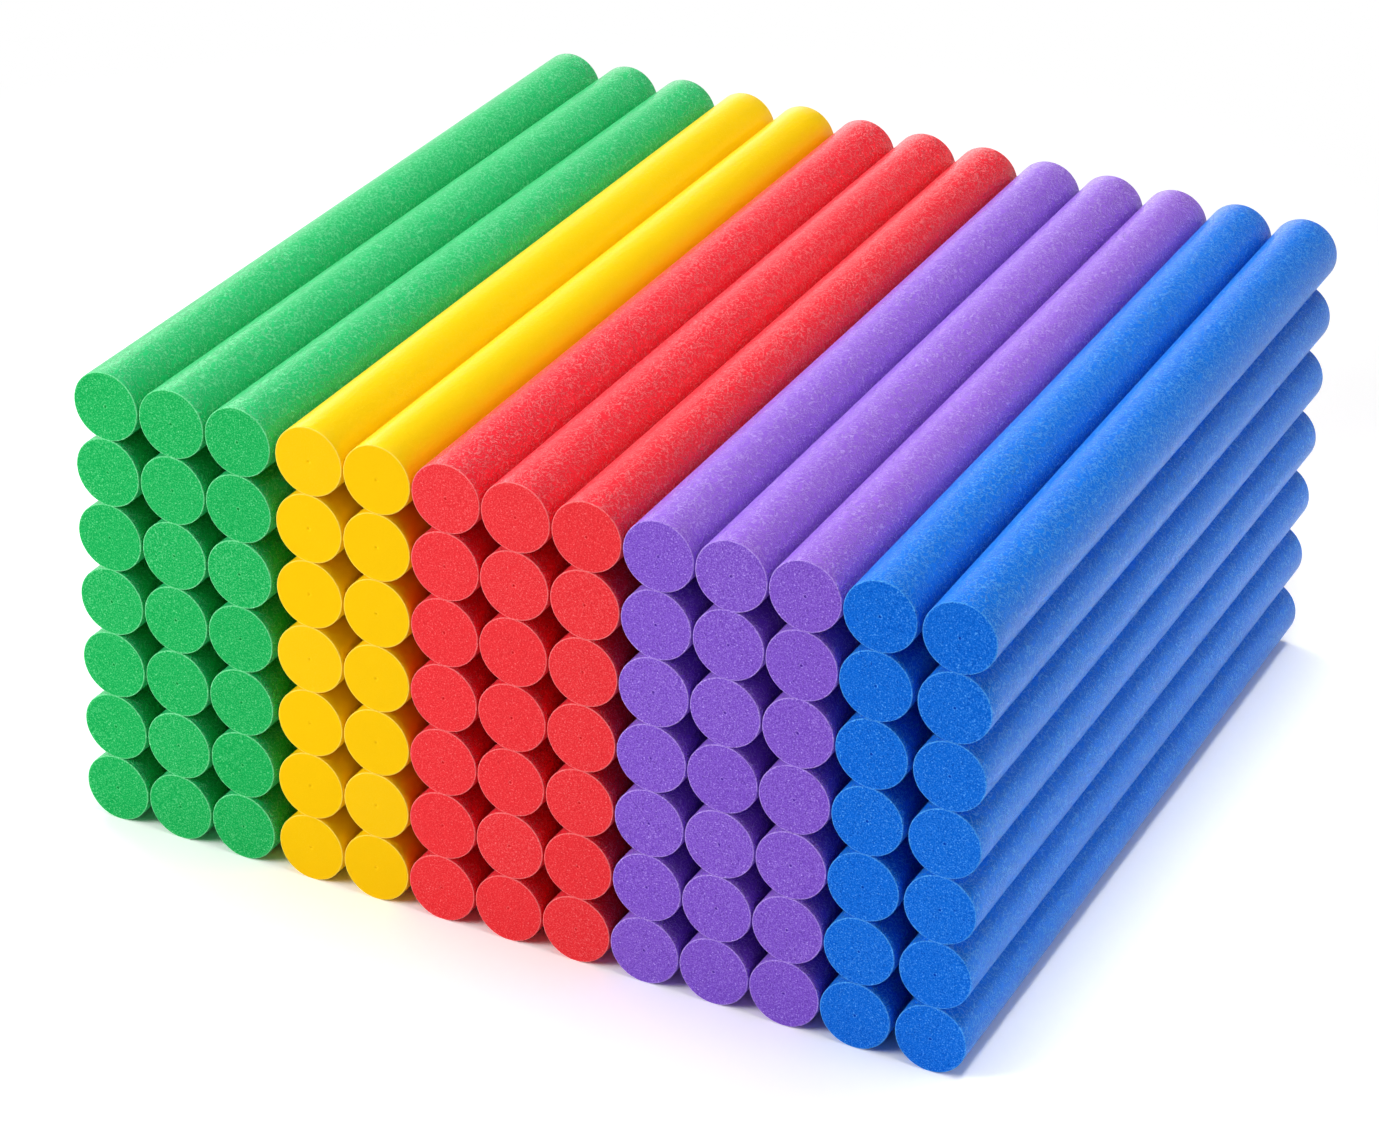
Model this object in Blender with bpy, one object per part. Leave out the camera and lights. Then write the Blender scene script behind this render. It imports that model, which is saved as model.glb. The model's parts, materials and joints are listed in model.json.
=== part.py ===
"""A free-standing stack of solid foam pool noodles, thirteen columns wide and seven courses high.

Every noodle lies along Y with its cut ends at the front (-Y) and the back (+Y). The columns stand side
by side along X, one directly on top of the other along Z, in five bands of colour from left to right.
The origin is on the ground, under the middle of the stack. All lengths are in metres.
"""

import math

import bmesh
import bpy
from mathutils import Matrix, Vector

# One noodle
NOODLE_DIAMETER = 0.090
NOODLE_LENGTH = 1.168
NOODLE_RADIUS = NOODLE_DIAMETER / 2
NOODLE_SIDES = 32

# Soft foam bears on a narrow flat, pressed this deep, on the noodle below and on the ground
PRESS_DEPTH = 0.0006
PIECE_GAP = 0.0003

# The stack, from the ground up: the weight of the rest holds the inner base noodles as one block
COURSES = 7
BASE_COURSES = 4

# The colour of each column from left to right, in five bands
COLUMN_COLOURS = ("green",) * 3 + ("yellow",) * 2 + ("red",) * 3 + ("purple",) * 3 + ("blue",) * 2
COLUMN_COUNT = len(COLUMN_COLOURS)
FOAM_COLOURS = {
    "green": (0.025, 0.460, 0.125, 1.0),
    "yellow": (0.960, 0.640, 0.012, 1.0),
    "red": (0.850, 0.035, 0.045, 1.0),
    "purple": (0.235, 0.085, 0.620, 1.0),
    "blue": (0.010, 0.170, 0.740, 1.0),
}
FOAM_ROUGHNESS = 0.62
FOAM_METALLIC = 0.0

# The columns touch at the back and stand a little open at the front, most beside these two columns
COLUMN_OPENING = 0.0015
YELLOW_BAND_OPENING = 0.0069
LAST_COLUMN_OPENING = 0.0060

COURSE_PITCH = NOODLE_DIAMETER - 2 * PRESS_DEPTH + PIECE_GAP
FLAT_HEIGHT = NOODLE_RADIUS - PRESS_DEPTH
UP = Vector((0, 0, 1))
DOWN = -UP


def collection_in_scene(name):
    collection = bpy.data.collections.new(name)
    bpy.context.scene.collection.children.link(collection)
    return collection


def front_opening(column):
    """The extra room, at the front, between this column and the one on its right."""
    if column == COLUMN_COLOURS.count("green"):
        return YELLOW_BAND_OPENING
    if column == COLUMN_COUNT - 1:
        return LAST_COLUMN_OPENING
    return COLUMN_OPENING


def course_rise(course):
    """How far the axis of a noodle on this course lies above the axis of one on course 1."""
    return COURSE_PITCH * (course - 1)


def centred_row(openings):
    """The places along X of one end of each column, with the row's two outermost at equal distances."""
    places = [0.0]
    for opening in openings:
        places.append(places[-1] + NOODLE_DIAMETER + PIECE_GAP + opening)
    middle = places[-1] / 2
    return [place - middle for place in places]


def foam_material(colour, rgba):
    material = bpy.data.materials.new(f"{colour}_foam")
    material.use_nodes = True
    shader = material.node_tree.nodes["Principled BSDF"]
    shader.inputs["Base Color"].default_value = rgba
    shader.inputs["Roughness"].default_value = FOAM_ROUGHNESS
    shader.inputs["Metallic"].default_value = FOAM_METALLIC
    return material


def round_bar():
    """A bmesh of one noodle as it is cut from the extruded bar: a cylinder along Y."""
    bar = bmesh.new()
    bmesh.ops.create_cone(
        bar,
        cap_ends=True,
        segments=NOODLE_SIDES,
        radius1=NOODLE_RADIUS,
        radius2=NOODLE_RADIUS,
        depth=NOODLE_LENGTH,
        matrix=Matrix.Rotation(math.radians(90), 4, "X"),
    )
    return bar


def press_flat(foam, height, outward):
    """Takes off what lies past a level plane and closes the cut with a flat."""
    bmesh.ops.bisect_plane(
        foam,
        geom=foam.verts[:] + foam.edges[:] + foam.faces[:],
        plane_co=(0, 0, height),
        plane_no=outward,
        clear_outer=True,
    )
    bmesh.ops.holes_fill(foam, edges=[edge for edge in foam.edges if edge.is_boundary])


def finished_mesh(foam, name):
    """The mesh of this bmesh, with the round skin shaded smooth and the cut ends left crisp."""
    bmesh.ops.recalc_face_normals(foam, faces=foam.faces)
    mesh = bpy.data.meshes.new(name)
    foam.to_mesh(mesh)
    foam.free()
    mesh.shade_smooth()
    mesh.set_sharp_from_angle(angle=math.radians(40))
    return mesh


def single_noodle_mesh(name, flat_above):
    foam = round_bar()
    press_flat(foam, -FLAT_HEIGHT, DOWN)
    if flat_above:
        press_flat(foam, FLAT_HEIGHT, UP)
    return finished_mesh(foam, name)


def base_block_mesh(name, helpers):
    """The lower noodles of one column, joined where each is pressed on the one below.

    The origin is on the axis of the lowest noodle.
    """
    bar_mesh = bpy.data.meshes.new("pressed_bar")
    bar = round_bar()
    bar.to_mesh(bar_mesh)
    bar.free()
    lowest = bpy.data.objects.new("pressed_bar_1", bar_mesh)
    helpers.objects.link(lowest)
    for course in range(2, BASE_COURSES + 1):
        upper = bpy.data.objects.new(f"pressed_bar_{course}", bar_mesh)
        upper.location = UP * course_rise(course)
        helpers.objects.link(upper)
        joint = lowest.modifiers.new(f"joined_to_bar_{course}", "BOOLEAN")
        joint.operation = "UNION"
        joint.object = upper
    for helper in helpers.objects:
        helper.hide_render = True
        helper.display_type = "WIRE"
    bpy.context.view_layer.update()
    joined = lowest.evaluated_get(bpy.context.evaluated_depsgraph_get())
    foam = bmesh.new()
    foam.from_mesh(joined.to_mesh())
    joined.to_mesh_clear()
    press_flat(foam, -FLAT_HEIGHT, DOWN)
    press_flat(foam, course_rise(BASE_COURSES) + FLAT_HEIGHT, UP)
    return finished_mesh(foam, name)


def place_piece(name, mesh, material, column_frame, course, collection):
    """One piece whose lowest noodle lies on this course of the column, counted from 1 at the ground."""
    piece = bpy.data.objects.new(name, mesh.copy())
    piece.data.name = name
    piece.data.materials.append(material)
    piece.parent = column_frame
    piece.location = UP * (FLAT_HEIGHT + course_rise(course))
    collection.objects.link(piece)
    return piece


def column_frame_at(column, front_x, back_x, collection):
    """An empty on the ground under the middle of a column, turned to the line of its noodles."""
    frame = bpy.data.objects.new(f"column_{column:02d}", None)
    frame.location = ((front_x + back_x) / 2, 0, 0)
    frame.rotation_euler = (0, 0, math.asin((front_x - back_x) / NOODLE_LENGTH))
    collection.objects.link(frame)
    return frame


def build_stack():
    for obj in list(bpy.data.objects):
        bpy.data.objects.remove(obj)
    stack = collection_in_scene("pool_noodle_stack")
    helpers = collection_in_scene("joining_helpers")

    laid_noodle = single_noodle_mesh("laid_noodle", flat_above=True)
    top_noodle = single_noodle_mesh("top_noodle", flat_above=False)
    base_block = base_block_mesh("base_block", helpers)

    columns = range(1, COLUMN_COUNT + 1)
    front_places = centred_row([front_opening(column) for column in columns[:-1]])
    back_places = centred_row([0.0 for _ in columns[:-1]])
    materials = {colour: foam_material(colour, rgba) for colour, rgba in FOAM_COLOURS.items()}

    for column, front_x, back_x, colour in zip(columns, front_places, back_places, COLUMN_COLOURS):
        frame = column_frame_at(column, front_x, back_x, stack)
        first_single = 1
        if column not in (1, COLUMN_COUNT):
            name = f"{colour}_base_column_{column:02d}_courses_1_to_{BASE_COURSES}"
            place_piece(name, base_block, materials[colour], frame, 1, stack)
            first_single = BASE_COURSES + 1
        for course in range(first_single, COURSES + 1):
            mesh = top_noodle if course == COURSES else laid_noodle
            name = f"{colour}_noodle_column_{column:02d}_course_{course}"
            place_piece(name, mesh, materials[colour], frame, course, stack)
    print(f"{len(stack.objects) - COLUMN_COUNT} pieces in {COLUMN_COUNT} columns")
    print(f"the front row spans {front_places[-1] - front_places[0] + NOODLE_DIAMETER:.4f} m")


build_stack()
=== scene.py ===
# %% [markdown]
# # A stack of foam pool noodles
#
# The real object is 91 solid bars of soft polyethylene foam, laid thirteen wide and seven high in
# five bands of colour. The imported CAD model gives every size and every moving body. This script
# dresses it: each bar gets a finer piece, with a rounded rim, a pit at the middle of each cut and
# the pebbled skin of extruded foam.

import json
import math
import re

import bmesh
import bpy
from mathutils import Matrix, Vector

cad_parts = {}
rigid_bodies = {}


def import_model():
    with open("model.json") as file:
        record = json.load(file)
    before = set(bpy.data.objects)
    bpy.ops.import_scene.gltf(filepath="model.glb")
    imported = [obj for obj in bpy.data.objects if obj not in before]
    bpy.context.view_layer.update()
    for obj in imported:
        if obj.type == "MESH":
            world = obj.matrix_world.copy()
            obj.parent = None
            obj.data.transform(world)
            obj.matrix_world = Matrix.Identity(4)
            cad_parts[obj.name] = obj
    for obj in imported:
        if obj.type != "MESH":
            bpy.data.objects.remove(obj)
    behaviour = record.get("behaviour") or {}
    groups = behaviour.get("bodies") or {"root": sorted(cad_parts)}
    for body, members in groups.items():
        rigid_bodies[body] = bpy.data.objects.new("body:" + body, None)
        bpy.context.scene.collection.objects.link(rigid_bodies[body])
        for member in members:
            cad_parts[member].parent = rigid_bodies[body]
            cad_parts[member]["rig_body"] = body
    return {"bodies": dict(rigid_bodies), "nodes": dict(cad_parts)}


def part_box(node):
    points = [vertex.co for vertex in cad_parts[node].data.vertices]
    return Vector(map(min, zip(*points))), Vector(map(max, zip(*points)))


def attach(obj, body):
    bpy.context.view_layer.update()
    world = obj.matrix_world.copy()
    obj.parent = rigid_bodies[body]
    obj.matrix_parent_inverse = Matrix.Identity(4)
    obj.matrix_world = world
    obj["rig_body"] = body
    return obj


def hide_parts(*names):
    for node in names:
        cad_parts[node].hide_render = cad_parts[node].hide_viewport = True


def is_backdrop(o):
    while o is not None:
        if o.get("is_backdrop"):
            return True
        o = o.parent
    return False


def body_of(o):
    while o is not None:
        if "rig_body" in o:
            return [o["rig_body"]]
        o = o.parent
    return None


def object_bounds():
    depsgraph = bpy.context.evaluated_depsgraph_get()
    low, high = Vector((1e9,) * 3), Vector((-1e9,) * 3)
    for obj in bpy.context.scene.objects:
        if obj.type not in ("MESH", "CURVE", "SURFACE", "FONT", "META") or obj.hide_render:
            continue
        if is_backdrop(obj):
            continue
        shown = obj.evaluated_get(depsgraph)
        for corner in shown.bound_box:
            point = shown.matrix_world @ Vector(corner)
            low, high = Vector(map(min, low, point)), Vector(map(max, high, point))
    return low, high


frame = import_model()
CAD_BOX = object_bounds()
print(f"{len(frame['nodes'])} CAD nodes on {len(frame['bodies'])} bodies")

# %% [markdown]
# ## Where the camera stands
#
# The photo was taken with a long lens from the front right, above the stack and tilted a little.
# The place and angles were found by matching the middles of the cut ends to the photo. A camera
# looks along its own -Z, so it is raised from looking straight down, then turned to its heading,
# with the roll applied first.

# %% The camera
PHOTO_WIDTH = 1379
LENS_PIXELS = 4408.7
CAMERA_PLACE = Vector((2.0896, -4.5127, 2.9784))
CAMERA_HEADING = math.radians(25.398)
CAMERA_LOOK_DOWN = math.radians(28.948)
CAMERA_ROLL = math.radians(2.264)
UPRIGHT = math.radians(90)


def camera_of_the_photo():
    camera = bpy.data.objects.new("photo_camera", bpy.data.cameras.new("photo_camera"))
    camera.data.sensor_fit = "HORIZONTAL"
    camera.data.lens = camera.data.sensor_width * LENS_PIXELS / PHOTO_WIDTH
    heading = Matrix.Rotation(CAMERA_HEADING, 4, "Z")
    tilt = Matrix.Rotation(UPRIGHT - CAMERA_LOOK_DOWN, 4, "X")
    roll = Matrix.Rotation(CAMERA_ROLL, 4, "Z")
    camera.matrix_world = Matrix.Translation(CAMERA_PLACE) @ heading @ tilt @ roll
    bpy.context.scene.collection.objects.link(camera)
    return camera


bpy.context.scene.camera = camera_of_the_photo()
print(f"the lens is {bpy.context.scene.camera.data.lens:.1f} mm long")

# %% [markdown]
# ## How large a noodle is, and how the noodles lie
#
# The noodles of a column lie in one line, and the columns fan out a little towards the front.
# Sizes could be typed in again, but they would then be wrong as soon as the CAD model changes, so
# all of them are measured on its nodes: the middle of a noodle's front cut, the middle of its back
# cut, and its height. A base block of the CAD model stands for four noodles that its limit on
# nodes doesn't let it split.

# %% Sizes measured on the frame
END_DEPTH = 0.002
BLOCK_COURSES = 4
TOP_COURSE = 7
MILLIMETRES = 1000


def cut_middle(node, side):
    """The middle of the front cut, where side is -1, or of the back cut, where it is 1."""
    points = [vertex.co for vertex in frame["nodes"][node].data.vertices]
    furthest = max(side * point.y for point in points)
    ring = [point for point in points if side * point.y > furthest - END_DEPTH]
    low_x, high_x = min(point.x for point in ring), max(point.x for point in ring)
    low_y, high_y = min(point.y for point in ring), max(point.y for point in ring)
    return Vector(((low_x + high_x) / 2, (low_y + high_y) / 2, 0))


def height_of(node):
    low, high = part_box(node)
    return high.z - low.z


block_height = height_of(f"green_base_column_02_courses_1_to_{BLOCK_COURSES}")
laid_height = height_of("green_noodle_column_02_course_5")
top_height = height_of(f"green_noodle_column_02_course_{TOP_COURSE}")
flat_height = laid_height / 2
noodle_radius = top_height - flat_height
course_pitch = (block_height - laid_height) / (BLOCK_COURSES - 1)
print(f"a noodle is {2 * noodle_radius:.4f} m thick, and {laid_height:.4f} m where it is pressed")
print(f"each course lies {course_pitch:.4f} m above the one below")

# %% [markdown]
# ## Writing node trees as sums
#
# Materials and Geometry Nodes are both trees of nodes, and most of a tree is arithmetic. A small
# class wraps a socket so that `a * 2 + b` adds its Math nodes by itself.


# %% A wire that can be added, multiplied and compared
class Wire:
    """One number, vector or colour on its way through a node tree."""

    def __init__(self, tree, socket):
        self.tree = tree
        self.socket = socket

    def maths(self, operation, *values):
        return self.tree.add("ShaderNodeMath", {"operation": operation}, dict(enumerate(values)))

    def __add__(self, other):
        return self.maths("ADD", self, other)

    def __sub__(self, other):
        return self.maths("SUBTRACT", self, other)

    def __rsub__(self, other):
        return self.maths("SUBTRACT", other, self)

    def __mul__(self, other):
        return self.maths("MULTIPLY", self, other)

    def __truediv__(self, other):
        return self.maths("DIVIDE", self, other)

    def __rtruediv__(self, other):
        return self.maths("DIVIDE", other, self)

    def __pow__(self, other):
        return self.maths("POWER", self, other)

    def __lt__(self, other):
        return self.maths("LESS_THAN", self, other)

    def __gt__(self, other):
        return self.maths("GREATER_THAN", self, other)

    def __abs__(self):
        return self.maths("ABSOLUTE", self)

    def __round__(self):
        return self.maths("ROUND", self)

    def at_most(self, other):
        return self.maths("MINIMUM", self, other)

    def at_least(self, other):
        return self.maths("MAXIMUM", self, other)

    def sign(self):
        return self.maths("SIGN", self)

    __radd__ = __add__
    __rmul__ = __mul__


# %% [markdown]
# Any other node comes from one method, which takes the node's type, its settings and what goes
# into its sockets. Some nodes carry a socket of the same name for every type of data, with one of
# them in use, so a name always means the socket in use.


# %% One method that adds any node
def socket_in_use(sockets, name):
    """The socket of this number or name, or the first of all where the name is None."""
    if isinstance(name, int):
        return sockets[name]
    return next(socket for socket in sockets if socket.enabled and name in (None, socket.name))


class Tree:
    """A node tree, of a material or of Geometry Nodes."""

    def __init__(self, nodes):
        self.nodes = nodes
        self.nodes.nodes.clear()

    def add(self, kind, settings=None, inputs=None, output=None):
        """Adds a node and gives the wire from one of its outputs."""
        node = self.nodes.nodes.new(kind)
        for name, value in (settings or {}).items():
            setattr(node, name, value)
        for name, value in (inputs or {}).items():
            socket = socket_in_use(node.inputs, name)
            if isinstance(value, Wire):
                self.nodes.links.new(value.socket, socket)
            else:
                socket.default_value = value
        return Wire(self, socket_in_use(node.outputs, output)) if node.outputs else None

    def wires(self, wire, *names):
        """The wires from several outputs of the node that this wire leaves."""
        return [Wire(self, wire.socket.node.outputs[name]) for name in names]

    def parts(self, vector):
        separated = self.add("ShaderNodeSeparateXYZ", None, {"Vector": vector})
        return self.wires(separated, "X", "Y", "Z")

    def vector(self, x=0.0, y=0.0, z=0.0):
        return self.add("ShaderNodeCombineXYZ", None, {"X": x, "Y": y, "Z": z})

    def rise(self, value, low, high):
        """0 where value is under low, 1 where it is over high, and a smooth rise between them."""
        limits = {"Value": value, "From Min": low, "From Max": high}
        return self.add("ShaderNodeMapRange", {"interpolation_type": "SMOOTHSTEP"}, limits)

    def noise(self, place, size, detail=0.0, distortion=0.0):
        """Soft noise about a half, with lumps this many metres across."""
        shape = {"Vector": place, "Scale": 1 / size, "Detail": detail, "Distortion": distortion}
        return self.add("ShaderNodeTexNoise", None, shape)

    def dots(self, place, spacing, inner, outer):
        """1 on dots about this many metres apart, fading from inner to outer, and 0 elsewhere."""
        cells = {"Vector": place, "Scale": 1 / spacing}
        distance = self.add("ShaderNodeTexVoronoi", {"feature": "F1"}, cells)
        return 1 - self.rise(distance, inner, outer)


# %% [markdown]
# ## One noodle as a rule
#
# A noodle is a lathe-turned shape, so Geometry Nodes make it. A modelled cylinder would do for one
# noodle, but as a rule the same tree gives every noodle its own slight lumps, tilted cuts and
# pressed flats. The tree's inputs are the noodle's sizes, and they are set on 91 modifiers below.

# %% The sizes that only the finer piece has
RIM_RADIUS = 0.0009
PIT_RADIUS = 0.0021
PIT_DEPTH = 0.0013
LUMP_DEPTH = 0.00022
LUMP_SIZE = 0.024
CUT_TRIM = 0.0011
CUT_TILT = 0.009

NOODLE_INPUTS = {
    "Radius": "NodeSocketFloat",
    "Length": "NodeSocketFloat",
    "Rim Radius": "NodeSocketFloat",
    "Pit Radius": "NodeSocketFloat",
    "Pit Depth": "NodeSocketFloat",
    "Lump Depth": "NodeSocketFloat",
    "Lump Size": "NodeSocketFloat",
    "Cut Trim": "NodeSocketFloat",
    "Cut Tilt": "NodeSocketFloat",
    "Flat Below": "NodeSocketFloat",
    "Flat Above": "NodeSocketFloat",
    "Middle": "NodeSocketVector",
    "Turn": "NodeSocketFloat",
    "Seed": "NodeSocketInt",
    "Skin": "NodeSocketMaterial",
    "Cut": "NodeSocketMaterial",
}
print(f"{len(NOODLE_INPUTS)} inputs to the noodle's rule")

# %% [markdown]
# Half of the lengthwise section is drawn as a curve: along the front cut, round the rim, along the
# skin and back along the other cut. A fillet rounds the two rims, and each stretch is cut into as
# many points as it needs: many along the skin, which has lumps, and fewer along the cuts.

# %% The section, drawn as a curve and cut into points
SKIN_RINGS = 40
CUT_RINGS = 9
RIM_STEPS = 3


def is_step(step, number):
    """1 at the point of this number, and 0 at all the others."""
    return abs(step - number) < 0.5


def section_of(tree, size):
    """Half of the lengthwise section: X is how far from the axis it lies, and Y how far along."""
    half = size["Length"] * 0.5
    radius = size["Radius"]
    corners = {
        "Point 1": tree.vector(0.0, 0 - half),
        "Point 2": tree.vector(radius, 0 - half),
        "Point 3": tree.vector(radius, half),
        "Point 4": tree.vector(0.0, half),
    }
    outline = tree.add("GeometryNodeCurvePrimitiveQuadrilateral", {"mode": "POINTS"}, corners)
    outline = tree.add("GeometryNodeSetSplineCyclic", None, {"Geometry": outline, "Cyclic": False})
    rounding = {"Curve": outline, "Count": RIM_STEPS, "Radius": size["Rim Radius"]}
    outline = tree.add("GeometryNodeFilletCurve", {"mode": "POLY"}, rounding)
    step = tree.add("GeometryNodeInputIndex")
    rim_points = RIM_STEPS + 1
    along_skin = is_step(step, rim_points)
    along_cut = is_step(step, 0) + is_step(step, 2 * rim_points)
    cuts = along_skin * (SKIN_RINGS - 1) + along_cut * (CUT_RINGS - 1)
    return tree.add("GeometryNodeSubdivideCurve", None, {"Curve": outline, "Cuts": cuts})


print(f"{SKIN_RINGS} rings along the skin and {CUT_RINGS} on each cut")

# %% [markdown]
# At the middle of many cut ends is a pinprick. The rings of a cut are evenly spaced, which is too
# coarse for it, so a power draws them in towards the axis. The innermost ones then sink to form
# the pit.

# %% The pit at the middle of each cut
CUT_RING_POWER = 2.2
HAIR = 0.00001


def pitted(tree, size, section):
    half = size["Length"] * 0.5
    flat_radius = size["Radius"] - size["Rim Radius"]
    out, along, _ = tree.parts(tree.add("GeometryNodeInputPosition"))
    on_cut = abs(along) > half - HAIR
    nearer = flat_radius * (out / flat_radius).at_most(1.0) ** CUT_RING_POWER
    sunk = (1 - tree.rise(nearer, 0.0, size["Pit Radius"])) * size["Pit Depth"]
    place = tree.vector(nearer, along.sign() * (half - sunk))
    moved = {"Geometry": section, "Selection": on_cut, "Position": place}
    return tree.add("GeometryNodeSetPosition", None, moved)


print(f"each pit is {2 * PIT_RADIUS * MILLIMETRES:.1f} mm across")

# %% [markdown]
# Curve to Mesh could sweep the section round a circle, but it leaves a bunch of points on the
# axis. Instead a flat grid gets one row of points for each point of the section and one column for
# each step round the axis. Set Position rolls it up, and Merge by Distance closes the seam and the
# two poles.

# %% The section rolled round the axis
SIDES = 96


def rolled(tree, section):
    curve = {"Geometry": section}
    count = tree.add("GeometryNodeAttributeDomainSize", {"component": "CURVE"}, curve)
    width = count - 1
    sheet = {"Size X": width, "Size Y": float(SIDES), "Vertices X": count, "Vertices Y": SIDES + 1}
    grid = tree.add("GeometryNodeMeshGrid", None, sheet)
    grid_x, grid_y, _ = tree.parts(tree.add("GeometryNodeInputPosition"))
    place = tree.add("GeometryNodeInputPosition")
    taken = {"Geometry": section, "Value": place, "Index": round(grid_x + width * 0.5)}
    sampled = tree.add("GeometryNodeSampleIndex", {"data_type": "FLOAT_VECTOR"}, taken)
    round_axis = {"Vector": sampled, "Angle": grid_y * (2 * math.pi / SIDES)}
    turned = tree.add("ShaderNodeVectorRotate", {"rotation_type": "Y_AXIS"}, round_axis)
    shell = tree.add("GeometryNodeSetPosition", None, {"Geometry": grid, "Position": turned})
    return tree.add("GeometryNodeMergeByDistance", None, {"Geometry": shell, "Distance": HAIR / 2})


print(f"{SIDES} steps round the axis")

# %% [markdown]
# Then come the things that make a real noodle less than exact: shallow lumps, ends that were cut a
# hair short and a little out of square, and the flats where the foam is pressed on its neighbours.
# All of them only ever take foam away, so the finer piece doesn't outgrow the CAD model.
#
# A Random Value node draws anew for every point. With its ID held at one number, it draws once for
# the whole noodle.

# %% Lumps, uneven cuts and pressed flats
TILT_X_DRAW = 11
TILT_Z_DRAW = 23
TRIM_DRAW = 37
BATCH_DRAW = 71
LEAST_TRIM = 0.7
END_POWER = 12
NOISE_STRIDE = 3.7


def chance(tree, seed, low, high):
    """One number between low and high that is the same all over a noodle."""
    same = tree.add("FunctionNodeInputInt", {"integer": 0})
    limits = {"Min": low, "Max": high, "ID": same, "Seed": seed}
    return tree.add("FunctionNodeRandomValue", {"data_type": "FLOAT"}, limits)


def lumpy(tree, size, foam):
    x, y, z = tree.parts(tree.add("GeometryNodeInputPosition"))
    own_place = tree.vector(x, y + size["Seed"] * NOISE_STRIDE, z)
    lump = tree.noise(own_place, size["Lump Size"], detail=1.0)
    sink = lump * size["Lump Depth"] / size["Radius"]
    offset = tree.vector(0 - x * sink, 0.0, 0 - z * sink)
    return tree.add("GeometryNodeSetPosition", None, {"Geometry": foam, "Offset": offset})


def cut_by_hand(tree, size, foam):
    x, y, z = tree.parts(tree.add("GeometryNodeInputPosition"))
    near_end = (abs(y) / (size["Length"] * 0.5)) ** END_POWER
    seed, front = size["Seed"], y < 0.0
    least, most = 0 - size["Cut Tilt"], size["Cut Tilt"]
    tilt_x = chance(tree, seed + front * TILT_X_DRAW, least, most)
    tilt_z = chance(tree, seed + front * TILT_Z_DRAW, least, most)
    trim = chance(tree, seed + front * TRIM_DRAW, size["Cut Trim"] * LEAST_TRIM, size["Cut Trim"])
    short = (trim + x * tilt_x + z * tilt_z) * near_end
    offset = tree.vector(0.0, 0 - y.sign() * short, 0.0)
    return tree.add("GeometryNodeSetPosition", None, {"Geometry": foam, "Offset": offset})


def pressed(tree, size, foam):
    x, y, z = tree.parts(tree.add("GeometryNodeInputPosition"))
    level = z.at_most(size["Flat Above"]).at_least(0 - size["Flat Below"])
    flattened = {"Geometry": foam, "Position": tree.vector(x, y, level)}
    return tree.add("GeometryNodeSetPosition", None, flattened)


print(f"each end is trimmed by up to {CUT_TRIM * MILLIMETRES:.1f} mm")

# %% [markdown]
# A material can't see where on its own noodle a point lies once the noodle has been laid in the
# stack. So the exact place is written on the mesh as an attribute before the foam is bent out of
# shape, and so is one number for the noodle's batch of dye. The same exact place tells the cuts
# from the skin at the end.

# %% What is written on the mesh, and the two finishes
FLAT_SHARE = 0.05
PIT_SURROUND = 2.0


def remember(tree, foam, name, value, kind):
    kept = {"Geometry": foam, "Name": name, "Value": value}
    return tree.add("GeometryNodeStoreNamedAttribute", {"data_type": kind, "domain": "POINT"}, kept)


def dressed(tree, size, foam):
    """Smooths all but the wide flat of a cut, and gives the skin and the cuts their finishes."""
    named = {"Name": "noodle_place"}
    place = tree.add("GeometryNodeInputNamedAttribute", {"data_type": "FLOAT_VECTOR"}, named)
    x, y, z = tree.parts(place)
    depth = size["Length"] * 0.5 - abs(y)
    is_cut = depth < size["Rim Radius"]
    is_wide = (x * x + z * z) ** 0.5 > size["Pit Radius"] * PIT_SURROUND
    is_flat = (depth < size["Rim Radius"] * FLAT_SHARE) * is_wide
    foam = tree.add("GeometryNodeSetShadeSmooth", None, {"Geometry": foam, "Shade Smooth": True})
    flat = {"Geometry": foam, "Selection": is_flat, "Shade Smooth": False}
    foam = tree.add("GeometryNodeSetShadeSmooth", None, flat)
    foam = tree.add("GeometryNodeRealizeInstances", None, {"Geometry": foam})
    foam = tree.add("GeometryNodeSetMaterial", None, {"Geometry": foam, "Material": size["Skin"]})
    cut = {"Geometry": foam, "Selection": is_cut, "Material": size["Cut"]}
    return tree.add("GeometryNodeSetMaterial", None, cut)


# %% [markdown]
# The steps are chained in one group. Up to its last step the noodle lies along Y with its middle
# at the origin, which keeps the maths of every step short. Transform Geometry then turns it and
# moves it to its place in the stack.


# %% The whole tree
def noodle_rule():
    group = bpy.data.node_groups.new("foam_noodle", "GeometryNodeTree")
    for name, kind in NOODLE_INPUTS.items():
        group.interface.new_socket(name, in_out="INPUT", socket_type=kind)
    group.interface.new_socket("Geometry", in_out="OUTPUT", socket_type="NodeSocketGeometry")
    tree = Tree(group)
    size = dict(zip(NOODLE_INPUTS, tree.wires(tree.add("NodeGroupInput"), *NOODLE_INPUTS)))
    foam = rolled(tree, pitted(tree, size, section_of(tree, size)))
    place = tree.add("GeometryNodeInputPosition")
    foam = remember(tree, foam, "noodle_place", place, "FLOAT_VECTOR")
    batch = chance(tree, size["Seed"] + BATCH_DRAW, -1.0, 1.0)
    foam = remember(tree, foam, "batch", batch, "FLOAT")
    foam = pressed(tree, size, cut_by_hand(tree, size, lumpy(tree, size, foam)))
    turn = tree.vector(z=size["Turn"])
    stand = {"Geometry": foam, "Translation": size["Middle"], "Rotation": turn}
    foam = dressed(tree, size, tree.add("GeometryNodeTransform", None, stand))
    tree.add("NodeGroupOutput", None, {"Geometry": foam})
    return group


NOODLE_RULE = noodle_rule()
print(f"the noodle's tree has {len(NOODLE_RULE.nodes)} nodes")

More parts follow.
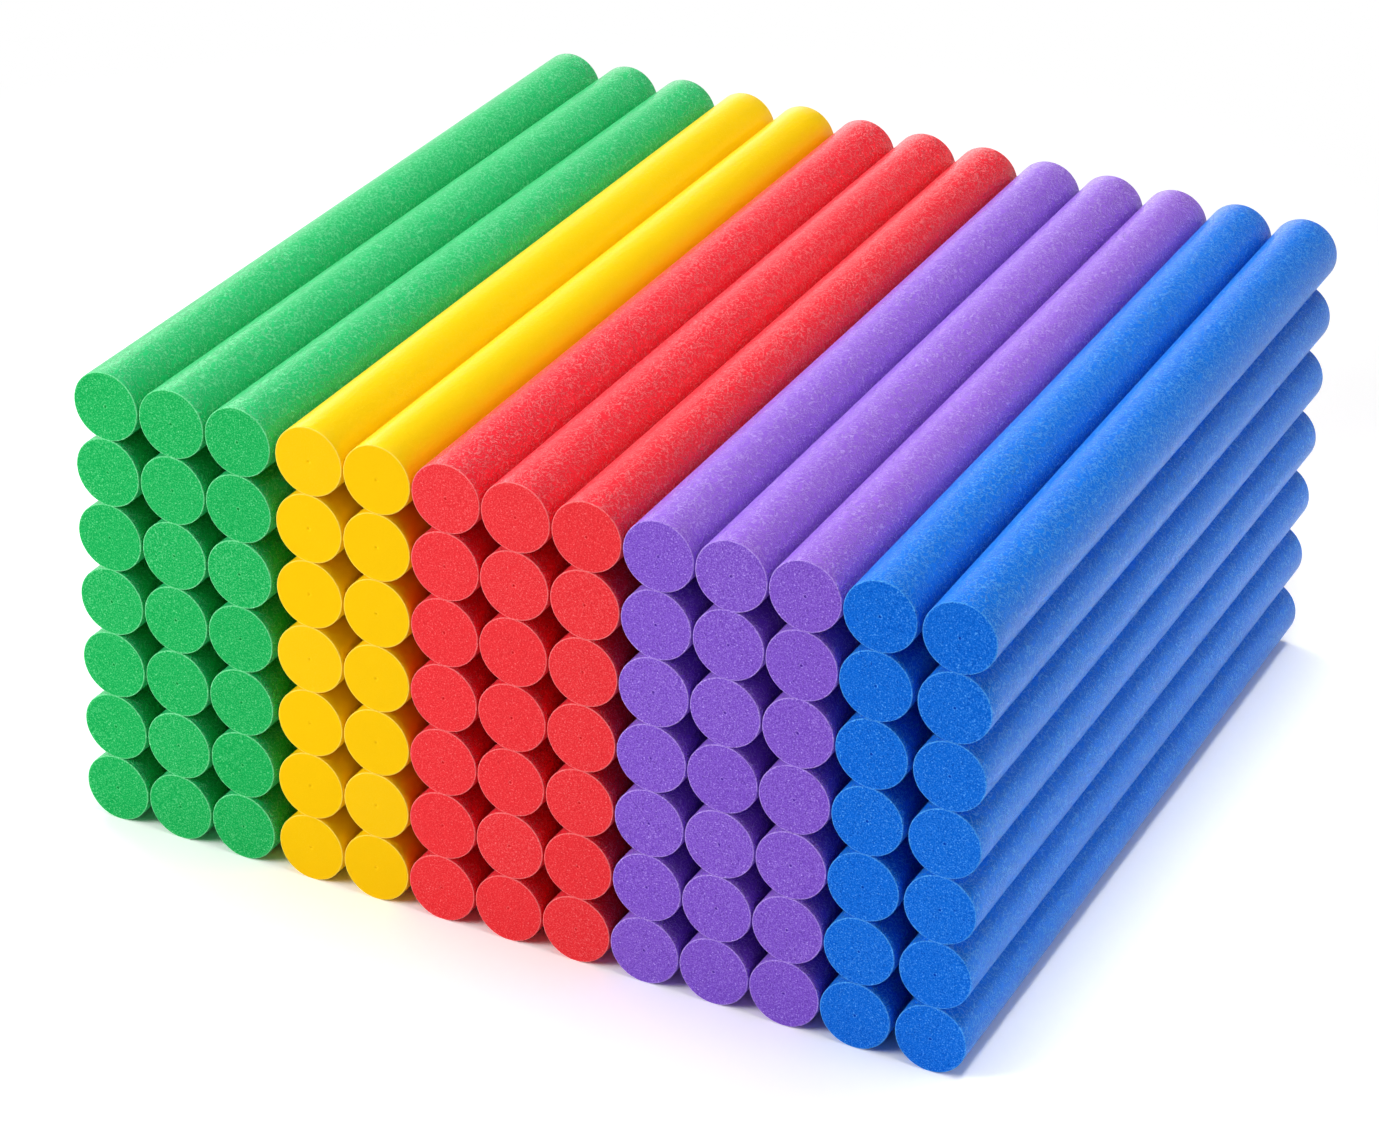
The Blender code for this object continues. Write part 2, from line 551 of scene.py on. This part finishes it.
# %% [markdown]
# ## Foam, in five colours
#
# Each colour has two finishes, the skin and the cut ends. Both are procedural, because noise in three
# dimensions needs no unwrapping and never repeats over a metre of noodle. In each, a tone is worked out
# first, which is over zero where the foam looks pale and under zero where it looks deep, and the colour
# follows the tone. Much of the tone is painted light and shade of the small relief: ridges, pebbles,
# cells, flecks, holes, rim and pit. The rest is real drift and batch of the dye.
#
# The yellow is dyed so densely that hardly any of the pattern shows, so each colour has its own amount
# of grain. Where the tone is under zero, which paints shade and also marks denser dye, light has met
# more dye on its way, and a power of the colour gives that: it takes away what little there is of the
# other hues and leaves the main one nearly whole.

# %% The foam colours
SKIN_COLOURS = {
    "green": (0.018, 0.597, 0.177, 1.0),
    "yellow": (0.970, 0.635, 0.002, 1.0),
    "red": (0.985, 0.027, 0.048, 1.0),
    "purple": (0.360, 0.155, 0.819, 1.0),
    "blue": (0.009, 0.225, 0.912, 1.0),
}
CUT_COLOURS = {
    "green": (0.008, 0.428, 0.095, 1.0),
    "yellow": (0.950, 0.565, 0.001, 1.0),
    "red": (0.890, 0.035, 0.044, 1.0),
    "purple": (0.238, 0.096, 0.670, 1.0),
    "blue": (0.002, 0.158, 0.790, 1.0),
}
PALE_COLOURS = {
    "green": (0.300, 0.950, 0.480, 1.0),
    "yellow": (1.000, 0.800, 0.150, 1.0),
    "red": (1.000, 0.300, 0.300, 1.0),
    "purple": (0.640, 0.460, 1.000, 1.0),
    "blue": (0.130, 0.500, 1.000, 1.0),
}
GRAIN = {"green": 1.0, "yellow": 0.15, "red": 0.95, "purple": 1.4, "blue": 1.5}
print(f"{len(SKIN_COLOURS)} foam colours")

# %% [markdown]
# Skin and cut need the same few helpers: an empty material, an attribute read from the mesh, a mix
# of two colours, the colour that follows from the tone, and the shader. Roughness and shine are
# one number each, set on the shader itself, since only the colour and the bump are seen to vary on
# foam.

# %% What both finishes share
DEEP_POWER = 1.6
DEEP_SHARE = 0.75
RELIEF_HEIGHT = 0.0010
NOISE_MIDDLE = 0.5


class Finish:
    """A material and its tree."""

    def __init__(self, name):
        self.material = bpy.data.materials.new(name)
        self.material.use_nodes = True
        self.tree = Tree(self.material.node_tree)


def attribute(tree, name, output):
    return tree.add("ShaderNodeAttribute", {"attribute_name": name}, None, output)


def mixed(tree, share, first, second):
    inputs = {"Factor": share, "A": first, "B": second}
    return tree.add("ShaderNodeMix", {"data_type": "RGBA", "clamp_factor": True}, inputs)


def toned(tree, tone, base, pale):
    """The base colour, paler where the tone is over zero and deeper where it is under, for painted
    light and shade and for the dye.
    """
    deep = [channel**DEEP_POWER * DEEP_SHARE for channel in base[:3]] + [1.0]
    return mixed(tree, 0 - tone, mixed(tree, tone, base, pale), deep)


def foam_shader(tree, colour, roughness, specular, relief, strength):
    bump = {"Strength": strength, "Distance": RELIEF_HEIGHT, "Height": relief}
    surface = {
        "Base Color": colour,
        "Roughness": roughness,
        "Specular IOR Level": specular,
        "Normal": tree.add("ShaderNodeBump", None, bump),
    }
    shader = tree.add("ShaderNodeBsdfPrincipled", None, surface)
    tree.add("ShaderNodeOutputMaterial", None, {"Surface": shader})


# %% [markdown]
# The skin was shaped by a hot die, which leaves it satin and covered with fine worm-like ridges. A
# ridge is where soft noise passes through its middle value: that line wanders and closes on itself like
# the real ones. Each ridge is painted pale as a painted highlight. Finer noise breaks it up as painted
# light and shade, paler on its lumps and deeper between them. The same pattern drives the bump, so each
# ridge also catches real light.

# %% The skin
SKIN_ROUGHNESS = 0.28
SATIN = {"green": 0.22, "yellow": 0.10, "red": 0.22, "purple": 0.22, "blue": 0.12}
RIDGE_SPACING = 0.0047
RIDGE_SQUEEZE = 0.8
RIDGE_WIDTH = 0.065
RIDGE_WANDER = 0.45
PEBBLE_SIZE = 0.0047
DRIFT_SIZE = 0.11
RIDGE_HIGHLIGHT_TONE, RIDGE_COVER = 0.52, 0.22
PEBBLE_SHADING_TONE = 0.25
DRIFT_TONE = 0.10
SKIN_BATCH_TONE = 0.02
RIDGE_RELIEF, PEBBLE_RELIEF = 0.9, 0.5
FULL_RELIEF = 1.0


def skin_finish(colour):
    finish = Finish(f"{colour}_foam_skin")
    tree, grain = finish.tree, GRAIN[colour]
    place = tree.add("ShaderNodeTexCoord", None, None, "Object")
    squeeze = {"Vector": place, "Scale": (1.0, RIDGE_SQUEEZE, 1.0)}
    squeezed = tree.add("ShaderNodeMapping", None, squeeze)
    waves = tree.noise(squeezed, RIDGE_SPACING, detail=1.0, distortion=RIDGE_WANDER)
    ridge = 1 - tree.rise(abs(waves - NOISE_MIDDLE), 0.0, RIDGE_WIDTH)
    pebble = tree.noise(squeezed, PEBBLE_SIZE)
    drift = tree.noise(place, DRIFT_SIZE, detail=1.0)
    # Painted highlight on the ridges, and painted light and shade on the pebbles: paler on lumps,
    # deeper between them.
    pattern = (ridge - RIDGE_COVER) * RIDGE_HIGHLIGHT_TONE + (pebble - NOISE_MIDDLE) * PEBBLE_SHADING_TONE
    batch = attribute(tree, "batch", "Fac") * SKIN_BATCH_TONE
    added_tone = (drift - NOISE_MIDDLE) * DRIFT_TONE + batch
    colours = toned(tree, pattern * grain + added_tone, SKIN_COLOURS[colour], PALE_COLOURS[colour])
    relief = ridge * RIDGE_RELIEF + pebble * PEBBLE_RELIEF
    strength = min(grain, FULL_RELIEF)
    foam_shader(tree, colours, SKIN_ROUGHNESS, SATIN[colour], relief, strength)
    return finish.material


print(f"the waves that carry the ridges are {RIDGE_SPACING * MILLIMETRES:.1f} mm across")

# %% [markdown]
# A cut end shows the sliced cells of the foam, duller and deeper in colour than the skin. The cells are
# painted paler where they stand up and deeper where they sink, as painted light and shade. The sliced
# walls get painted highlights as pale flecks, and small holes get painted shade. At the rim, a painted
# highlight on the rounded edge joins the paler skin layer seen in section. The pinprick is painted
# shade in its pit, inside a ring of painted highlight on its lip. Rim and pinprick follow the noodle's
# own axis, so they read the place that the rule wrote on the mesh.

# %% The cut ends
CUT_ROUGHNESS = 0.75
CUT_SPECULAR = 0.04
CELL_SIZE = 0.0018
CELL_WANDER = 0.4
CELL_SHADING_TONE = 1.3
FLECK_SPACING, FLECK_HIGHLIGHT_TONE = 0.0050, 0.36
FLECK_INNER, FLECK_OUTER = 0.12, 0.24
HOLE_SPACING, HOLE_SHADE_TONE = 0.0038, 0.22
HOLE_INNER, HOLE_OUTER = 0.14, 0.30
RIM_WIDTH, RIM_SKIN_AND_HIGHLIGHT_TONE = 0.0017, 0.52
PRICK_INNER, PRICK_OUTER = PIT_RADIUS * 0.4, PIT_RADIUS * 0.9
PRICK_SHADE_TONE = 0.8
RING_RADIUS, RING_WIDTH = PIT_RADIUS * 1.2, PIT_RADIUS * 0.35
RING_HIGHLIGHT_TONE = 0.25
CUT_BATCH_TONE = 0.03
CELL_RELIEF, HOLE_RELIEF = 0.8, 0.6
CUT_BUMP = 0.6


def cut_finish(colour):
    finish = Finish(f"{colour}_foam_cut")
    tree, grain = finish.tree, GRAIN[colour]
    place = tree.add("ShaderNodeTexCoord", None, None, "Object")
    x, _, z = tree.parts(attribute(tree, "noodle_place", "Vector"))
    out = (x * x + z * z) ** 0.5
    cells = tree.noise(place, CELL_SIZE, detail=1.0, distortion=CELL_WANDER)
    fleck = tree.dots(place, FLECK_SPACING, FLECK_INNER, FLECK_OUTER)
    hole = tree.dots(place, HOLE_SPACING, HOLE_INNER, HOLE_OUTER)
    # The rim is painted paler: a painted highlight on the rounded edge, with the paler skin layer seen
    # in section.
    rim = tree.rise(out, noodle_radius - RIM_WIDTH, noodle_radius - RIM_RADIUS)
    # Painted shade in the pit at the middle, and a painted highlight on a ring round its lip.
    prick = 1 - tree.rise(out, PRICK_INNER, PRICK_OUTER)
    ring = 1 - tree.rise(abs(out - RING_RADIUS), 0.0, RING_WIDTH)
    # Painted light and shade: cells paler where raised, flecks as painted highlights, holes as painted
    # shade.
    foam = (cells - NOISE_MIDDLE) * CELL_SHADING_TONE + fleck * FLECK_HIGHLIGHT_TONE - hole * HOLE_SHADE_TONE
    middle = ring * RING_HIGHLIGHT_TONE - prick * PRICK_SHADE_TONE
    # On the cut, this tone holds the rim's painted highlight and the real batch of dye.
    added_tone = rim * RIM_SKIN_AND_HIGHLIGHT_TONE + attribute(tree, "batch", "Fac") * CUT_BATCH_TONE
    tone = (foam + middle) * grain + added_tone
    colours = toned(tree, tone, CUT_COLOURS[colour], PALE_COLOURS[colour])
    relief = cells * CELL_RELIEF - hole * HOLE_RELIEF
    foam_shader(tree, colours, CUT_ROUGHNESS, CUT_SPECULAR, relief, CUT_BUMP * grain)
    return finish.material


print(f"the sliced cells are about {CELL_SIZE * MILLIMETRES:.1f} mm across")

# %% [markdown]
# Five colours in two finishes make ten materials. They are kept by colour, so a noodle takes its
# pair by the colour in its name.

# %% The finished materials
SKINS = {colour: skin_finish(colour) for colour in SKIN_COLOURS}
CUTS = {colour: cut_finish(colour) for colour in CUT_COLOURS}
print(f"{len(SKINS) + len(CUTS)} foam finishes")

# %% [markdown]
# ## Laying the noodles
#
# A modifier with the rule is put on an empty mesh, its inputs are set, and Blender works out the
# shape. That result is kept as a plain mesh and the modifier goes, because the export and the pose
# views want finished pieces.


# %% One noodle from the rule
def set_inputs(modifier, values):
    """Sets a modifier's inputs by the identifier of each socket."""
    for item in modifier.node_group.interface.items_tree:
        if item.item_type == "SOCKET" and item.in_out == "INPUT":
            modifier[item.identifier] = values[item.name]


def drop_empty_slot(mesh):
    """Removes the empty material slot that a grid starts with, which nothing uses in the end."""
    if mesh.materials[0] is None:
        numbers = [face.material_index - 1 for face in mesh.polygons]
        mesh.materials.pop(index=0)
        mesh.polygons.foreach_set("material_index", numbers)


def face_outwards(mesh):
    foam = bmesh.new()
    foam.from_mesh(mesh)
    bmesh.ops.recalc_face_normals(foam, faces=foam.faces)
    foam.to_mesh(mesh)
    foam.free()


def lay_noodle(name, values):
    """A plain mesh made by the rule, with its place in its mesh."""
    noodle = bpy.data.objects.new(name, bpy.data.meshes.new(name))
    bpy.context.scene.collection.objects.link(noodle)
    modifier = noodle.modifiers.new("foam_noodle", "NODES")
    modifier.node_group = NOODLE_RULE
    set_inputs(modifier, values)
    shaped = noodle.evaluated_get(bpy.context.evaluated_depsgraph_get())
    mesh = bpy.data.meshes.new_from_object(shaped)
    noodle.modifiers.clear()
    noodle.data = mesh
    mesh.name = name
    drop_empty_slot(mesh)
    face_outwards(mesh)
    return noodle


# %% [markdown]
# What differs from noodle to noodle is its line, its height, its seed and its colour, and all but
# the seed come from the CAD node. A top noodle carries nothing and has no flat above, so that flat
# is set out at the full radius, where it takes nothing away.

# %% The inputs of one noodle
SEEDS_PER_COLUMN = 10


def noodle_values(colour, column, course, node):
    front = cut_middle(node, -1)
    back = cut_middle(node, 1)
    line = back - front
    middle = (front + back) / 2
    middle.z = flat_height + course_pitch * (course - 1)
    return {
        "Radius": noodle_radius,
        "Length": line.length,
        "Rim Radius": RIM_RADIUS,
        "Pit Radius": PIT_RADIUS,
        "Pit Depth": PIT_DEPTH,
        "Lump Depth": LUMP_DEPTH,
        "Lump Size": LUMP_SIZE,
        "Cut Trim": CUT_TRIM,
        "Cut Tilt": CUT_TILT,
        "Flat Below": flat_height,
        "Flat Above": noodle_radius if course == TOP_COURSE else flat_height,
        "Middle": middle,
        "Turn": -math.atan2(line.x, line.y),
        "Seed": column * SEEDS_PER_COLUMN + course,
        "Skin": SKINS[colour],
        "Cut": CUTS[colour],
    }


# %% [markdown]
# Each CAD node is read by its name, which holds its colour, column and courses. A single noodle gets
# one piece and a base block gets four. Every piece rides on the body of its node and replaces it. The
# foam is soft all through.

# %% All the noodles
NODE_NAME = re.compile(
    r"(?P<colour>[a-z]+)_(?P<kind>noodle|base)_column_(?P<column>\d+)_courses?_(?P<course>\d+)"
)


def lay_the_stack():
    noodles = []
    for node in sorted(frame["nodes"]):
        name = NODE_NAME.match(node)
        colour, column, lowest = name["colour"], int(name["column"]), int(name["course"])
        highest = BLOCK_COURSES if name["kind"] == "base" else lowest
        body = body_of(frame["nodes"][node])[0]
        for course in range(lowest, highest + 1):
            values = noodle_values(colour, column, course, node)
            noodle = lay_noodle(f"{colour}_foam_column_{column:02d}_course_{course}", values)
            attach(noodle, body)
            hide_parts(node)
            f"{colour}_foam"
            noodles.append(noodle)
    return noodles


NOODLES = lay_the_stack()
print(f"{len(NOODLES)} noodles, {sum(len(noodle.data.polygons) for noodle in NOODLES)} faces")

# %% [markdown]
# ## A white studio
#
# The photo's background is white paper without a horizon, and all it keeps of the stack is a soft
# shadow. The floor here is a plain diffuse plane. The camera and clear reflections see it a little
# whiter than it is, by Light Path, so that it reaches white while the foam is lit plainly. Where
# the lamps no longer reach, they see it as plain white, and a low white wall of the world closes
# the gap to the horizon.

# %% The floor
FLOOR_HALF = 30.0
FLOOR_DROP = 0.0004
FLOOR_GREY = 0.90
FLOOR_SEEN = 1.24
FLOOR_REFLECTED = 1.0
LIT_FLOOR, PLAIN_FLOOR = 1.2, 2.4
WHITE = (1.0, 1.0, 1.0, 1.0)


def seen_directly(tree):
    """1 for what the camera sees, and 1 for what is seen in or through clear surfaces."""
    path = tree.add("ShaderNodeLightPath")
    rays = ("Is Camera Ray", "Is Glossy Ray", "Is Transmission Ray")
    camera, glossy, through = tree.wires(path, *rays)
    return camera, glossy + through


def paper_finish():
    finish = Finish("white_paper")
    tree = finish.tree
    camera, reflected = seen_directly(tree)
    whiter = camera * (FLOOR_SEEN - FLOOR_GREY) + reflected * (FLOOR_REFLECTED - FLOOR_GREY)
    grey = whiter + FLOOR_GREY
    lit = tree.add("ShaderNodeBsdfDiffuse", None, {"Color": tree.vector(grey, grey, grey)})
    plain = tree.add("ShaderNodeEmission", None, {"Color": WHITE, "Strength": 1.0})
    x, y, _ = tree.parts(tree.add("ShaderNodeTexCoord", None, None, "Object"))
    beyond = tree.rise((x * x + y * y) ** 0.5, LIT_FLOOR, PLAIN_FLOOR)
    share = beyond * (camera + reflected).at_most(1.0)
    surface = tree.add("ShaderNodeMixShader", None, {0: share, 1: lit, 2: plain})
    tree.add("ShaderNodeOutputMaterial", None, {"Surface": surface})
    return finish.material


def lay_floor():
    around = ((-1, -1), (1, -1), (1, 1), (-1, 1))
    corners = [(x * FLOOR_HALF, y * FLOOR_HALF, -FLOOR_DROP) for x, y in around]
    mesh = bpy.data.meshes.new("studio_floor")
    mesh.from_pydata(corners, [], [(0, 1, 2, 3)])
    mesh.materials.append(paper_finish())
    floor = bpy.data.objects.new("studio_floor", mesh)
    bpy.context.scene.collection.objects.link(floor)
    floor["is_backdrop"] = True


lay_floor()
print(f"the floor is {2 * FLOOR_HALF:.0f} m wide")

# %% [markdown]
# The world gives a dim, even light, as the walls of a studio do, so that no shadow is black. Seen
# by the camera or in a reflection, it is white up to a little over the horizon and dims above
# that.

# %% The world
STUDIO_LIGHT = 0.08
WALL_LIGHT = 1.0
WALL_FADES, WALL_ENDS = 0.1, 0.4


def light_world():
    world = bpy.data.worlds.new("white_studio")
    world.use_nodes = True
    bpy.context.scene.world = world
    tree = Tree(world.node_tree)
    _, _, height = tree.parts(tree.add("ShaderNodeTexCoord", None, None, "Generated"))
    camera, reflected = seen_directly(tree)
    wall = (1 - tree.rise(height, WALL_FADES, WALL_ENDS)) * (camera + reflected).at_most(1.0)
    strength = wall * (WALL_LIGHT - STUDIO_LIGHT) + STUDIO_LIGHT
    sky = tree.add("ShaderNodeBackground", None, {"Color": WHITE, "Strength": strength})
    tree.add("ShaderNodeOutputWorld", None, {"Surface": sky})


light_world()
bpy.context.scene.view_settings.view_transform = "Standard"
print("the world is a dim studio behind a low white wall")

# %% [markdown]
# Five soft boxes light the stack. The one overhead and the one at the upper left draw the satin
# band along the top noodles, a faint one behind lifts their far ends, the one at the front left
# lights the cut ends and the one at the right the long side.
#
# In the photo the grooves of the long side are dark and the lower edge of each noodle is bright,
# so most of its light comes up from the paper. A sixth lamp does that. It hangs low over the paper
# on the right with a narrow beam straight down, lights the paper alone, and leaves the rest to
# what the paper throws back.

# %% The soft boxes
AIM = Vector((0.0, 0.0, 0.3))
SOFT_BOXES = {
    "overhead_box": (Vector((0.1, 0.0, 3.6)), 2.6, 78.0),
    "upper_left_box": (Vector((-2.7, 1.3, 2.1)), 2.0, 50.0),
    "back_box": (Vector((-1.6, 4.0, 0.9)), 2.0, 15.0),
    "front_box": (Vector((-3.3, -3.3, 2.3)), 2.4, 197.0),
    "right_box": (Vector((4.0, -0.4, 2.0)), 2.4, 38.0),
}
PAPER_BOX_PLACE = Vector((1.25, 0.1, 1.3))
PAPER_BOX_WIDTH = 1.1
PAPER_BOX_LENGTH = 2.2
PAPER_BOX_WATTS = 7.0
PAPER_BOX_BEAM = math.radians(30)


def hang_box(name, place, width, watts):
    """A square lamp that the camera doesn't see, shining straight down."""
    lamp = bpy.data.lights.new(name, "AREA")
    lamp.shape = "SQUARE"
    lamp.size = width
    lamp.energy = watts
    box = bpy.data.objects.new(name, lamp)
    box.location = place
    box.visible_camera = False
    bpy.context.scene.collection.objects.link(box)
    return box


def hang_soft_boxes():
    for name, (place, width, watts) in SOFT_BOXES.items():
        box = hang_box(name, place, width, watts)
        box.rotation_euler = (AIM - place).to_track_quat("-Z", "Y").to_euler()


def hang_paper_box():
    lamp = hang_box("paper_box", PAPER_BOX_PLACE, PAPER_BOX_WIDTH, PAPER_BOX_WATTS).data
    lamp.shape = "RECTANGLE"
    lamp.size_y = PAPER_BOX_LENGTH
    lamp.spread = PAPER_BOX_BEAM


hang_soft_boxes()
hang_paper_box()
print(f"{len(SOFT_BOXES)} soft boxes and one over the paper")

# %% [markdown]
# ## Closing
#
# The dressed stack may not outgrow the CAD model, so both boxes are kept side by side.

# %% Sizes kept
VISUAL_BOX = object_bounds()
BOXES = {"cad": [list(corner) for corner in CAD_BOX], "visual": [list(corner) for corner in VISUAL_BOX]}
print(f"the stack spans {[round(side, 4) for side in VISUAL_BOX[1] - VISUAL_BOX[0]]} m")
